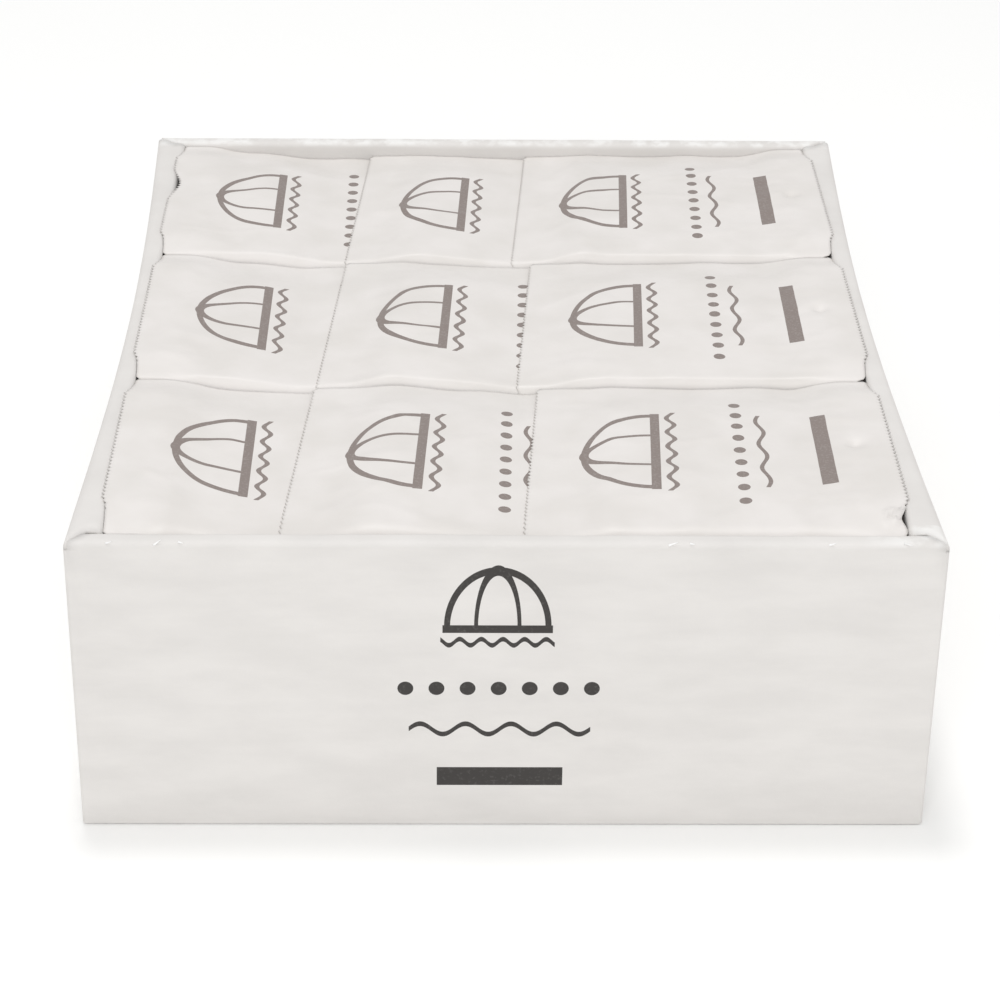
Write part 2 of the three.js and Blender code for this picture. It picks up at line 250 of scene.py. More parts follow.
@dataclass(frozen=True)
class Emblem:
    """A generic print in one ink, in millimetres: a drawn bonnet, a row of dots, a wavy line and a bar.

    Places are given along the reading direction and up from the print's origin. Shares are of the
    width or height of the drawn bonnet.
    """

    ink: str
    picture: Pair  # middle of the bonnet
    picture_size: Pair
    stroke: float
    dots: tuple[float, float, float]  # middle and length of the row
    dot_pitch: float
    dot_size: float
    water: tuple[float, float, float]  # middle and length of the wavy line
    water_height: float  # from its middle to a crest
    water_pitch: float
    water_stroke: float
    bar: tuple[float, float, float, float]  # middle, length and height
    brow: float = 0.22  # share from the middle of the bonnet down to its brow
    dome: float = 0.72  # share from the brow to the top
    gather: float = 0.2  # share from the middle to a gather
    band: tuple[float, float, float] = (0.03, 1.02, 0.1)  # shares: below the brow, length, height
    frill: tuple[float, float, float] = (0.2, 1.06, 0.04)  # shares: below the brow, length, crest
    frill_waves: int = 5
    frill_stroke: float = 0.8  # share of the stroke

    def within(self, tree: Tree, value: Feed, limit: float) -> bpy.types.Node:
        """A mask of where a value lies between plus and minus a limit."""
        size = add(tree, "Math", (value,), operation="ABSOLUTE")
        return add(tree, "Math", (size, limit), operation="LESS_THAN")

    def from_place(self, tree: Tree, at: Sequence[Feed], place: Sequence[float]) -> list[Feed]:
        """The coordinates along and up, counted from a place."""
        return [add(tree, "Math", pair, operation="SUBTRACT") for pair in zip(at, place)]

    def block(self, tree: Tree, at: Sequence[Feed], place: Sequence[float]) -> Feed:
        """A filled rectangle.

        Args:
            tree: Node tree of the material.
            at: Coordinates along and up.
            place: Middle along and up, length and height.

        Returns:
            A mask of it.
        """
        sides = zip(self.from_place(tree, at, place), place[2:])
        wide, high = (self.within(tree, off, size / 2) for off, size in sides)
        return add(tree, "Math", (wide, high), operation="MULTIPLY")

    def wave(self, tree: Tree, at: Sequence[Feed], place: Sequence[float], wave: Sequence[float]) -> Feed:
        """A wavy line.

        Args:
            tree: Node tree of the material.
            at: Coordinates along and up.
            place: Middle along and up, and length.
            wave: From the middle to a crest, from crest to crest, and stroke.

        Returns:
            A mask of the line.
        """
        height, pitch, stroke = wave
        x, y = self.from_place(tree, at, place)
        phase = add(tree, "Math", (x, 2 * math.pi / pitch), operation="MULTIPLY")
        sine = add(tree, "Math", (phase,), operation="SINE")
        line = add(tree, "Math", (sine, height), operation="MULTIPLY")
        off = add(tree, "Math", (y, line), operation="SUBTRACT")
        near, inside = self.within(tree, off, stroke / 2), self.within(tree, x, place[2] / 2)
        return add(tree, "Math", (near, inside), operation="MULTIPLY")

    def row_of_dots(self, tree: Tree, at: Sequence[Feed]) -> Feed:
        """A row of round dots.

        Args:
            tree: Node tree of the material.
            at: Coordinates along and up.

        Returns:
            A mask of the dots.
        """
        x, y = self.from_place(tree, at, self.dots)
        nearest = add(tree, "Math", (x, self.dot_pitch / 2), operation="PINGPONG")
        spot = add(tree, "CombineXYZ", (nearest, y))
        away = add(tree, "VectorMath", (spot,), operation="LENGTH")
        on_dot, inside = self.within(tree, away, self.dot_size / 2), self.within(tree, x, self.dots[2] / 2)
        return add(tree, "Math", (on_dot, inside), operation="MULTIPLY")

    def bonnet(self, tree: Tree, at: Sequence[Feed]) -> list[Feed]:
        """Line drawing of a bonnet: its dome, two gathers, the band and the frill below it.

        Args:
            tree: Node tree of the material.
            at: Coordinates along and up.

        Returns:
            A mask of each part of the drawing.
        """
        (x0, y0), (width, height) = self.picture, self.picture_size
        brow, dome = y0 - self.brow * height, self.dome * height
        x, y = self.from_place(tree, at, (x0, brow))
        above = add(tree, "Math", (y, 0.0), operation="GREATER_THAN")
        parts = []
        for half in ((width - self.stroke) / 2, self.gather * width):
            flat = add(tree, "Math", (x, half), operation="DIVIDE")
            tall = add(tree, "Math", (y, dome), operation="DIVIDE")
            spot = add(tree, "CombineXYZ", (flat, tall))
            radius = add(tree, "VectorMath", (spot,), operation="LENGTH")
            off = add(tree, "Math", (radius, 1.0), operation="SUBTRACT")
            line = self.within(tree, off, 0.5 * self.stroke / math.sqrt(half * dome))
            parts.append(add(tree, "Math", (line, above), operation="MULTIPLY"))
        below, length, thick = self.band
        parts.append(self.block(tree, at, (x0, brow - below * height, length * width, thick * height)))
        below, length, crest = self.frill
        wave = (crest * height, width / self.frill_waves, self.frill_stroke * self.stroke)
        parts.append(self.wave(tree, at, (x0, brow - below * height, length * width), wave))
        return parts

    def mask(self, tree: Tree, along: Feed, up: Feed) -> Feed:
        """Where there is ink.

        Args:
            tree: Node tree of the material.
            along: Coordinate along the reading direction, in millimetres.
            up: Coordinate up from the origin, in millimetres.

        Returns:
            A mask of the whole print.
        """
        at = (along, up)
        water = (self.water_height, self.water_pitch, self.water_stroke)
        ink = self.row_of_dots(tree, at)
        others = (self.wave(tree, at, self.water, water), self.block(tree, at, self.bar))
        for part in (*self.bonnet(tree, at), *others):
            ink = add(tree, "Math", (ink, part), operation="MAXIMUM")
        return ink


class Finish:
    """What all finishes share: a material of nodes with one surface."""

    name: str

    def inputs(self, tree: Tree) -> Mapping[str, Feed]:
        """The inputs of the surface's shader."""
        raise NotImplementedError

    def millimetres(self, tree: Tree) -> bpy.types.Node:
        """A node that gives the place on the object in millimetres."""
        place = add(tree, "TexCoord").outputs["Object"]
        return add(tree, "VectorMath", {0: place, "Scale": 1 / MM}, operation="SCALE")

    def material(self) -> Material:
        """Builds the material.

        Returns:
            The material, named for what the real one is.
        """
        material = bpy.data.materials.new(self.name)
        material.use_nodes = True
        tree = material.node_tree
        tree.nodes.clear()
        shader = add(tree, "BsdfPrincipled", self.inputs(tree))
        add(tree, "OutputMaterial", {"Surface": shader})
        return material


@dataclass(frozen=True)
class CoatedBoard(Finish):
    """Bleached corrugated board: matt, warm white, cloudy from its fibres, faintly scuffed at the rims,
    with a painted highlight on the back rim and the front rim's right end.
    """

    name: str = "bleached_corrugated_board"
    light: str = "#dedbd8"
    dark: str = "#d8d5d2"
    pale_scuff_and_highlight: str = "#eae9e7"
    # Pale colour of faint scuffs, and of the painted highlight on the back rim and the right end of the
    # front rim.
    roughness: float = 0.78
    ior: float = 1.5
    cloud: float = 26.0  # length of the cloudy streaks of the sheet
    cloud_span: Pair = (0.34, 0.66)  # of the noise, from dark to light
    drawn: float = 3.2  # how much longer than high the streaks are
    fibre: float = 0.9  # drawn coarser than paper fibres are, so that they show
    fibre_depth: float = 0.02
    flute_pitch: float = 3.4
    flute_depth: float = 0.012
    rim: float = 97.0
    rim_edge: Pair = (1.6, 0.2)  # from where to where below the rim the paler colour begins
    patch: float = 7.0  # size of the paler patches
    patch_span: Pair = (0.42, 0.6)
    worn_and_highlit: Pair = (140.0, 144.0)  # Y over which the paler colour grows to the painted highlight of the rear rim
    side_share: float = 0.05  # share of it on the other rims, as faint scuffs
    lit_front_right: Pair = (98.0, 112.0)  # X over which the painted highlight grows on the right end of the front rim
    front_right_highlight: float = 0.8
    front_rim: float = -139.0  # Y of the inside of the front rim
    emblem: Emblem | None = None
    printed_below: float = -149.2  # Y of the printed face
    grain_span: Pair = (0.2, 0.45)
    cover: Pair = (0.92, 0.99)  # share of the board that the ink covers

    def inputs(self, tree: Tree) -> Mapping[str, Feed]:
        """Works out the board's colour and print, and the relief of its flutes and fibres.

        Args:
            tree: Node tree of the material.

        Returns:
            The inputs of its shader.
        """
        mm = self.millimetres(tree)
        x, y, z = add(tree, "SeparateXYZ", (mm,)).outputs
        streaks = {
            "Vector": add(tree, "Mapping", {"Vector": mm, "Scale": (1.0, 1.0, self.drawn)}),
            "Scale": 1 / self.cloud, "Detail": 4.0, "Roughness": 0.55,
        }
        patches = {"Vector": mm, "Scale": 1 / self.patch, "Detail": 3.0, "Roughness": 0.6}
        cloud, patchy = add(tree, "TexNoise", streaks), add(tree, "TexNoise", patches)
        fibre = add(tree, "TexNoise", {"Vector": mm, "Scale": 1 / self.fibre, "Detail": 3.0})
        shade = add(tree, "MapRange", (cloud, *self.cloud_span))
        paper = add(tree, "Mix", {0: shade, 6: linear(self.dark), 7: linear(self.light)}, data_type="RGBA")
        # Paler patches at the rim tops: faint scuffs all round, and a painted highlight on the back rim and
        # the right end of the front rim.
        edge = add(tree, "MapRange", (z, *(self.rim - below for below in self.rim_edge)))
        patch_mask = add(tree, "MapRange", (patchy, *self.patch_span))
        rear = add(tree, "MapRange", (y, *self.worn_and_highlit, self.side_share, 1.0))
        right = add(tree, "MapRange", (x, *self.lit_front_right, 0.0, self.front_right_highlight))
        front = add(tree, "Math", (y, self.front_rim), operation="LESS_THAN")
        front_right_mask = add(tree, "Math", (right, front), operation="MULTIPLY")
        most = add(tree, "Math", (rear, front_right_mask), operation="MAXIMUM")
        worn_and_highlit = add(tree, "Math", (patch_mask, most), operation="MULTIPLY")
        scuff_and_highlight_mask = add(tree, "Math", (edge, worn_and_highlit), operation="MULTIPLY")
        colour = add(tree, "Mix", {0: scuff_and_highlight_mask, 6: paper, 7: linear(self.pale_scuff_and_highlight)}, data_type="RGBA")
        if self.emblem:
            ink = self.emblem.mask(tree, x, z)
            outside = add(tree, "Math", (y, self.printed_below), operation="LESS_THAN")
            grain = add(tree, "MapRange", (fibre, *self.grain_span, *self.cover))
            inked = add(tree, "Math", (ink, outside), operation="MULTIPLY")
            cover = add(tree, "Math", (inked, grain), operation="MULTIPLY")
            colour = add(tree, "Mix", {0: cover, 6: colour, 7: linear(self.emblem.ink)}, data_type="RGBA")
        pitch = {"Vector": mm, "Scale": 1 / (self.flute_pitch * math.pi), "Distortion": 0.6, "Detail": 1.0}
        flutes = add(tree, "TexWave", pitch, bands_direction="DIAGONAL")
        ribs = {"Height": flutes, "Strength": 1.0, "Distance": self.flute_depth * MM}
        nap = {"Height": fibre, "Strength": 1.0, "Distance": self.fibre_depth * MM}
        relief = add(tree, "Bump", {**nap, "Normal": add(tree, "Bump", ribs)})
        return {"Base Color": colour, "Roughness": self.roughness, "IOR": self.ior, "Normal": relief}


@dataclass(frozen=True)
class WrapFilm(Finish):
    """Matt pearlised flow-wrap film: warm white, softly shining on every wrinkle, gravure print on top."""

    name: str = "matt_pearlised_wrap_film"
    light: str = "#e2dedb"
    dark: str = "#dcd8d4"
    cloud: float = 18.0
    cloud_span: Pair = (0.35, 0.65)  # of the noise, from dark to light
    gloss_span: Pair = (0.3, 0.7)  # of the noise, from shiny to matt
    roughness: Pair = (0.4, 0.52)
    ior: float = 1.49
    crinkle: float = 3.2
    crinkle_depth: float = 0.05
    length: float = 105.0
    width: float = 93.0
    emblem: Emblem | None = None
    upper_film: float = 0.5  # share of the UV map that is the upper film
    speck: float = 0.7  # grain of the print, drawn coarser than it is, so that it shows
    grain_span: Pair = (0.25, 0.5)
    cover: Pair = (0.88, 1.0)  # share of the film that the ink covers

    def inputs(self, tree: Tree) -> Mapping[str, Feed]:
        """Works out the film's colour, with a print that follows the UV map, its gloss and its crinkles.

        Args:
            tree: Node tree of the material.

        Returns:
            The inputs of its shader.
        """
        mm = self.millimetres(tree)
        cloud = add(tree, "TexNoise", {"Vector": mm, "Scale": 1 / self.cloud, "Detail": 3.0})
        shade = add(tree, "MapRange", (cloud, *self.cloud_span))
        colour = add(tree, "Mix", {0: shade, 6: linear(self.dark), 7: linear(self.light)}, data_type="RGBA")
        gloss = add(tree, "MapRange", (cloud, *self.gloss_span, *self.roughness))
        if self.emblem:
            u, v, _ = add(tree, "SeparateXYZ", (add(tree, "TexCoord").outputs["UV"],)).outputs
            along = add(tree, "Math", (v, self.width / self.upper_film), operation="MULTIPLY")
            up = add(tree, "Math", (u, -self.length), operation="MULTIPLY")
            ink = self.emblem.mask(tree, along, up)
            upper = add(tree, "Math", (v, self.upper_film), operation="LESS_THAN")
            speck = add(tree, "TexNoise", {"Vector": mm, "Scale": 1 / self.speck, "Detail": 1.0})
            grain = add(tree, "MapRange", (speck, *self.grain_span, *self.cover))
            inked = add(tree, "Math", (ink, upper), operation="MULTIPLY")
            cover = add(tree, "Math", (inked, grain), operation="MULTIPLY")
            colour = add(tree, "Mix", {0: cover, 6: colour, 7: linear(self.emblem.ink)}, data_type="RGBA")
        crinkles = {"Vector": mm, "Scale": 1 / self.crinkle, "Detail": 2.0, "Roughness": 0.45}
        height = add(tree, "TexNoise", crinkles)
        relief = add(tree, "Bump", {"Height": height, "Strength": 1.0, "Distance": self.crinkle_depth * MM})
        return {"Base Color": colour, "Roughness": gloss, "IOR": self.ior, "Normal": relief}


@dataclass(frozen=True)
class CapFilm(Finish):
    """Blown polyethylene film: thin, milky and slippery, with a fine crackle of creases that are darker
    with painted shade.
    """

    name: str = "milky_polyethylene_film"
    light: str = "#f3f5f5"
    dark: str = "#e3e7e8"
    roughness: float = 0.28
    ior: float = 1.51
    crease: float = 2.4
    crease_breadth: float = 0.25
    crease_depth: float = 0.06

    def inputs(self, tree: Tree) -> Mapping[str, Feed]:
        """Works out the film's colour, darker along its creases as painted shade, and the relief of the
        creases.

        Args:
            tree: Node tree of the material.

        Returns:
            The inputs of its shader.
        """
        cells = {"Vector": self.millimetres(tree), "Scale": 1 / self.crease}
        crease = add(tree, "TexVoronoi", cells, feature="DISTANCE_TO_EDGE")
        # Painted shade: the colour darkens along the sunken creases, where shade would fall.
        shade = add(tree, "MapRange", (crease, 0.0, self.crease_breadth))
        colour = add(tree, "Mix", {0: shade, 6: linear(self.dark), 7: linear(self.light)}, data_type="RGBA")
        relief = add(tree, "Bump", {"Height": shade, "Strength": 1.0, "Distance": self.crease_depth * MM})
        return {"Base Color": colour, "Roughness": self.roughness, "IOR": self.ior, "Normal": relief}


@dataclass(frozen=True)
class KnittedElastic(Finish):
    """Knitted rubber elastic: a dull off-white band with ribs across it, darker in the valleys between them
    with painted shade.
    """

    name: str = "knitted_rubber_elastic"
    light: str = "#f2efe8"
    dark: str = "#cfcac0"
    roughness: float = 0.85
    rib: float = 0.6
    rib_depth: float = 0.12

    def inputs(self, tree: Tree) -> Mapping[str, Feed]:
        """Works out the elastic's colour, darker in the rib valleys as painted shade, and the relief of its
        ribs.

        Args:
            tree: Node tree of the material.

        Returns:
            The inputs of its shader.
        """
        pitch = {"Vector": self.millimetres(tree), "Scale": 1 / (self.rib * math.pi)}
        rib = add(tree, "TexWave", pitch, bands_direction="X").outputs["Fac"]
        # Painted shade: the colour darkens in the low valleys between the ribs.
        colour = add(tree, "Mix", {0: rib, 6: linear(self.dark), 7: linear(self.light)}, data_type="RGBA")
        relief = add(tree, "Bump", {"Height": rib, "Strength": 1.0, "Distance": self.rib_depth * MM})
        return {"Base Color": colour, "Roughness": self.roughness, "Normal": relief}


@dataclass(frozen=True)
class StudioPaper(Finish):
    """Matt white background paper, without a pattern."""

    name: str = "white_studio_paper"
    colour: str = "#fefefd"
    roughness: float = 0.9

    def inputs(self, tree: Tree) -> Mapping[str, Feed]:
        """The even colour and roughness of the paper."""
        return {"Base Color": linear(self.colour), "Roughness": self.roughness}


# Sachets


@dataclass(frozen=True)
class FilmCreases:
    """Unevenness of wrapped film: soft lumps, gathers that run in from the seals, and a few creases."""

    lump: float = 0.24
    lump_size: Pair = (24.0, 17.0)
    gather: float = 0.3
    gather_size: Pair = (46.0, 4.6)
    gather_slant: float = 0.03
    gather_start: Pair = (4.0, 11.0)  # from the end of the seal
    gather_end: Pair = (14.0, 38.0)
    left_gathers: float = 0.6  # share of their height beside a left seal
    crease: float = 1.6
    crease_size: Pair = (34.0, 26.0)
    crease_slant: Pair = (0.6, 0.4)
    crease_breadth: float = 0.16
    pressed: float = 0.92  # share that the next sachet presses flat
    pressed_from: Pair = (14.0, 4.0)  # before its end


@dataclass(frozen=True)
class SachetForm:
    """Sizes of a wrapped cap. It lies along X from 0 to its length, with Y from its middle."""

    length: float = 105.0
    width: float = 93.0
    body: float = 3.0
    sealed: float = 0.6  # thickness at the seals that the drape allows for
    edge: float = 0.3  # thickness that shows there
    crimp: float = 8.0
    shoulder: float = 18.0
    front_roll: float = 2.8
    rear_roll: float = 24.0
    droop: float = 0.35  # share of the drape's height that is left at the front fold
    fin_width: float = 9.0
    fin: float = 0.5
    fin_sunk: float = 0.1  # how far the fin reaches into the film that it is folded from
    fin_cells: tuple[int, int] = (20, 2)
    teeth: int = 46
    tooth: float = 0.8
    rib: float = 0.02  # height of the crimped ribs
    corner: float = 3.0  # rounding of the front right corner
    small_corner: float = 1.0  # rounding of the others
    reach: float = 0.97  # how far the soft ends reach beyond the nominal length
    spread: float = 0.285  # how far the folded sides reach beyond the nominal width
    heap: float = 3.4  # how high what lies below is heaped up under the ends at the walls
    heap_fade: Pair = (38.0, 5.0)  # from where to where before the next sachet the heap falls off
    lip_height: float = 9.5  # height of the seals there, which lie on the rims of the walls
    lip_overlap: float = 2.2  # how far they reach over a rim
    lip_taper: float = 14.0  # length over which such a seal sinks towards a corner
    lip_pinking: float = 8.0  # how fast its zigzag ends as it sinks
    rim_height: float = 9.2  # height of the rim of a wall above what the sachets lie on
    rim_radius: float = 3.0  # half of the width of the rim
    rim_crispness: float = 3.6  # how tight its edges are
    tuck: float = 0.18  # how far the point of a seal is pressed onto what lies below
    fringe: float = 13.0  # breadth of a folded side that is pushed up
    fringe_wave: Pair = (0.2, 0.9)  # height and unevenness of a rear one
    fringe_wave_length: float = 17.0
    curl: float = 8.0  # breadth of a rear fold that is bent up
    curl_power: float = 2.5
    slope: float = 0.1  # steepest fall off the end of the sachet below
    dome_start: float = 34.0  # distance from an end where the sachet is fully domed
    dome_fade: Pair = (26.0, 3.0)  # from where to where before the next sachet the dome ends
    smooth_seal: Pair = (2.0, 9.0)  # distance from an end over which wrinkles start
    dent_place: Pair = (9.0, 2.0)  # from the right end, and from the middle
    dent_depth: float = 1.7
    dent_breadth: float = 2.4
    crush_place: Pair = (3.0, 7.0)  # from the right end, and from the front
    crush_breadth: Pair = (1.0, 5.0)
    crush_height: Pair = (1.0, 2.4)  # height and unevenness
    crush_grain: float = 1.5
    creases: FilmCreases = FilmCreases()

    def end_rise(self, x: float) -> float:
        """How far the film has risen from the nearer seal, from 0 to 1."""
        return rise(min(x, self.length - x), self.crimp, self.crimp + self.shoulder)

    def side_rise(self, y: float) -> float:
        """How far the film has risen from the nearer folded side, from 0 to 1."""
        roll = self.front_roll if y < 0 else self.rear_roll
        return math.sin(math.pi / 2 * min(1.0, max(0.0, self.width / 2 - abs(y)) / roll))

    def profile(self, x: float) -> float:
        """Thickness with the fin, over the middle of the width."""
        return self.fin + self.sealed + (self.body - self.sealed) * self.end_rise(x)

    def overlap(self, height: float) -> float:
        """How far a seal at a height can reach over the rounded rim of a wall.

        Args:
            height: Of the seal's underside.

        Returns:
            Distance from the inner face of the wall.
        """
        up = (height - GAP - self.rim_height) / self.rim_radius + 1
        up = min(1.0, max(0.0, up)) ** self.rim_crispness
        return min(self.lip_overlap, self.rim_radius * (1 - (1 - up) ** (1 / self.rim_crispness)))

    def drape(self, lefts: Sequence[float]) -> list[Height]:
        """Lays a row of sachets over each other.

        Args:
            lefts: X of the left end of each, from the lowest to the topmost.

        Returns:
            Height of the underside of each above what the row lies on, as a function of its own X.
        """
        undersides: list[Height] = [lambda x: GAP]
        places = [float(x) for x in range(int(self.length) + 1)]
        for lower, left in zip(lefts, lefts[1:]):
            below = undersides[-1]
            tops = [(x - (left - lower), below(x) + self.profile(x) + GAP) for x in places]
            table = [max(GAP, max(top - self.slope * abs(x - at) for at, top in tops)) for x in places]
            undersides.append(lambda x, table=table: read_table(table, x))
        return undersides


def read_table(table: Sequence[float], x: float) -> float:
    """Value at x of a table with one entry for each millimetre, straight between entries."""
    low = min(len(table) - 2, max(0, int(x)))
    return table[low] + (table[low + 1] - table[low]) * (x - low)


@dataclass
class Sachet:
    """A wrapped cap: a pillow of film with pinked, crimped ends, rounded folds and a fin seal underneath.

    In its methods, x is the distance along the sachet and y that from its middle.
    """

    form: SachetForm
    left: float
    middle: float
    base: float
    underside: Height
    bare: float  # length that no other sachet covers
    seed: float
    crown: float = 1.1
    splay: float = 0.0  # how far the left seal leans out at the front and in at the rear
    walled: int = 0  # which end lies on a rim: -1 the left, 1 the right, 0 none
    lip_fade: Pair = (0.0, 0.0)  # share by which such an end sinks to its front and rear corner
    gape: tuple[float, float, float] | None = None  # middle, length and width of a slot beside it
    rear_droop: float = 0.7  # share of the drape's height that is left at the rear fold
    rear_curl: float = 0.0  # how far the rear fold is bent up
    rear_lift: float = 0.0  # how far the rear fold is pushed up
    rear_reach: float = 0.0  # how far it is spread out to the rear
    front_reach: float = 0.0  # how far the front fold is spread out to the front
    wrinkled: float = 1.0
    crumpled: bool = False
    pinked: bool = True
    cells: tuple[int, int] = (105, 92)
    noise_steps: Pair = (7.3, 31.7)  # between the noise of sachets, and of layers

    def ripple(self, x: float, y: float, layer: Ripple) -> float:
        """Smooth noise from -1 to 1, of its own for each sachet and layer."""
        by_seed, by_layer = self.noise_steps
        return noise.noise(Vector((x, y, by_seed * self.seed + by_layer * layer.value)))

    def wrinkles(self, x: float, y: float) -> float:
        """Height of the film's own unevenness.

        Args:
            x: Along the sachet.
            y: From its middle.

        Returns:
            Height to add to the upper film.
        """
        form, film = self.form, self.form.creases
        from_end = min(x, form.length - x)
        gathers = rise(from_end, *film.gather_start) * (1 - rise(from_end, *film.gather_end))
        if x < form.length / 2:
            gathers *= film.left_gathers
        lumps = film.lump * self.ripple(x / film.lump_size[0], y / film.lump_size[1], Ripple.LUMP)
        across = y / film.gather_size[1] + film.gather_slant * x
        lines = film.gather * gathers * self.ripple(x / film.gather_size[0], across, Ripple.GATHER)
        run = (x + film.crease_slant[0] * y) / film.crease_size[0]
        across = (y - film.crease_slant[1] * x) / film.crease_size[1]
        ridge = max(0.0, film.crease_breadth - abs(self.ripple(run, across, Ripple.CREASE)))
        covered = rise(x, *(self.bare - before for before in film.pressed_from))
        return self.wrinkled * (1 - film.pressed * covered) * (lumps + lines + film.crease * ridge)

    def crumple(self, x: float, y: float) -> float:
        """Height of a crushed spot beside the front right corner.

        Args:
            x: Along the sachet.
            y: From its middle.

        Returns:
            Height to add to both films.
        """
        form = self.form
        from_end, from_front = form.crush_place
        away = math.hypot(form.length - from_end - x, form.width / 2 - from_front + y)
        grain = self.ripple(x / form.crush_grain, y / form.crush_grain, Ripple.CRUSH)
        height = max(0.0, form.crush_height[0] + form.crush_height[1] * grain)
        return (1 - rise(away, *form.crush_breadth)) * height

    def dimple(self, x: float, y: float) -> float:
        """Depth of the dent where the seal pinches the film beside the middle of the right end."""
        away = math.hypot(self.form.length - self.form.dent_place[0] - x, y - self.form.dent_place[1])
        return self.form.dent_depth * math.exp(-((away / self.form.dent_breadth) ** 2))

    def bed(self, x: float, y: float) -> float:
        """Height of what the sachet lies on, lower at the folds, where the sachets below thin out.

        Args:
            x: Along the sachet.
            y: From its middle.

        Returns:
            Height above the base.
        """
        form = self.form
        under = self.underside(x)
        if self.walled:
            fade = rise(x, *(self.bare - before for before in form.heap_fade)) if self.walled < 0 else 0.0
            under = max(under, form.heap * (1 - fade))
        droop = form.droop if y < 0 else self.rear_droop
        return GAP + (under - GAP) * (droop + (1 - droop) * form.side_rise(y))

    def pinking(self, y: float) -> float:
        """Depth of the zigzag cut of the seals, from 0 at a point to 1 at a notch."""
        across = (y / self.form.width + 0.5) * self.form.teeth
        return abs(2 * (across - math.floor(across + 0.5))) if self.pinked else 0.0

    def slot(self, y: float) -> float:
        """How wide an end on a rim gapes from the wall."""
        middle, length, width = self.gape or (0.0, 1.0, 0.0)
        return width * (1 - rise(abs(y - middle), 0, length / 2))

    def sunk(self, y: float) -> float:
        """Share by which an end on a rim is lower near its corners."""
        from_corners = (self.form.width / 2 + y, self.form.width / 2 - y)
        return max(f * (1 - rise(d, 0, self.form.lip_taper)) for f, d in zip(self.lip_fade, from_corners))

    def on_rim(self, x: float) -> bool:
        """Whether a place is in the half of the sachet whose end lies on a rim."""
        return (x - self.form.length / 2) * self.walled > 0

    def pushed_up(self, x: float, y: float) -> float:
        """How far the film is pushed up towards the end that lies on a rim."""
        up = (self.form.lip_height - self.bed(x, y)) * (1 - self.form.end_rise(x)) * (1 - self.sunk(y))
        return up if self.on_rim(x) else 0.0

    def heights(self, x: float, y: float) -> Pair:
        """Heights of the lower and the upper film above the base.

        Args:
            x: Along the sachet.
            y: From its middle.

        Returns:
            Lower and upper height.
        """
        form = self.form
        from_end, from_side = min(x, form.length - x), form.width / 2 - abs(y)
        ends, sides = form.end_rise(x), form.side_rise(y)
        lower = self.bed(x, y) + form.fin * ends + self.pushed_up(x, y)
        if y > 0:
            lower += self.rear_curl * max(0.0, 1 - from_side / form.curl) ** form.curl_power
            lift = self.rear_lift * (ends if self.on_rim(x) else 1.0)
            height, uneven = form.fringe_wave
            wave = height + uneven * self.ripple(x / form.fringe_wave_length, 0, Ripple.REAR_FOLD)
            lower += (1 - rise(from_side, 0, form.fringe)) * max(0.0, lift + ends * wave)
        if self.pinked:
            lower += form.rib * (1 - ends) * math.cos(2 * math.pi * form.teeth * (y / form.width + 0.5))
        if self.crumpled:
            lower += self.crumple(x, y)
        if self.walled > 0:
            lower -= self.dimple(x, y)
        if self.walled >= 0:
            lower -= form.tuck * (1 - rise(x, 0, form.crimp))
        dome = self.crown * (1 - (2 * y / form.width) ** 2) * rise(from_end, form.crimp, form.dome_start)
        dome *= 1 - rise(x, *(self.bare - before for before in form.dome_fade))
        inside = rise(x, *form.smooth_seal) * rise(form.length - x, *form.smooth_seal) * math.sqrt(sides)
        thick = form.edge + (form.body - form.edge) * ends * sides
        return lower, lower + thick + dome + inside * self.wrinkles(x, y)

    def plan(self, x: float, y: float) -> Pair:
        """Moves a point of the flat sheet to the outline of the sachet.

        Args:
            x: Along the sheet.
            y: From its middle.

        Returns:
            The point on the outline, or inside it.
        """
        form = self.form
        half = form.width / 2
        way = -1 if x < form.length / 2 else 1
        from_side = half - abs(y)
        inwards = form.tooth * self.pinking(y)
        if way == self.walled:
            end = 0.0 if way < 0 else form.length
            inwards *= max(0.0, 1 - form.lip_pinking * self.sunk(y))
            inwards += self.slot(y) - form.overlap(self.heights(end, y)[0])
        radius = form.corner if y < 0 < way else form.small_corner
        if from_side < radius:
            inwards += radius - math.sqrt(radius**2 - (radius - from_side) ** 2)
        x -= way * inwards * (1 - rise(min(x, form.length - x), 0, form.crimp))
        x += self.splay * 2 * y / form.width * (1 - x / form.length)
        x += form.reach * (2 * x / form.length - 1)
        y *= 1 + 2 * form.spread / form.width
        y -= self.front_reach * rise(-y, half - form.fringe, half)
        return x, y + self.rear_reach * rise(y, half - form.rear_roll, half)

    def films(self, bm: Shape, cells: tuple[int, int]) -> tuple[set[Vert], set[Vert]]:
        """Adds a flat sheet, extruded to a lower and an upper film.

        Args:
            bm: The shape.
            cells: Cells along and across the sheet.

        Returns:
            The vertices of the lower and of the upper film.
        """
        sheet = bmesh.ops.create_grid(bm, x_segments=cells[0], y_segments=cells[1], size=0.5)["verts"]
        raised = bmesh.ops.extrude_face_region(bm, geom=list(faces_at(sheet)))["geom"]
        return set(sheet), set(verts_of(raised))

    def shape(self, bm: Shape) -> None:
        """Adds the sachet to a shape: both of its films, formed and with a UV map.

        Args:
            bm: The shape.
        """
        form = self.form
        uv = bm.loops.layers.uv.verify()
        lower, upper = self.films(bm, self.cells)
        for face in faces_at(upper | lower):
            top = all(v in upper for v in face.verts)
            for loop in face.loops:
                u, v = loop.vert.co.x + 0.5, loop.vert.co.y + 0.5
                loop[uv].uv = (u, 0.5 * v) if top else (u, 1 - 0.5 * v)
        for vertex in upper | lower:
            x, y = (vertex.co.x + 0.5) * form.length, vertex.co.y * form.width
            low, high = self.heights(x, y)
            px, py = self.plan(x, y)
            z = high if vertex in upper else low
            vertex.co = (self.left + px, self.middle + py, self.base + z)

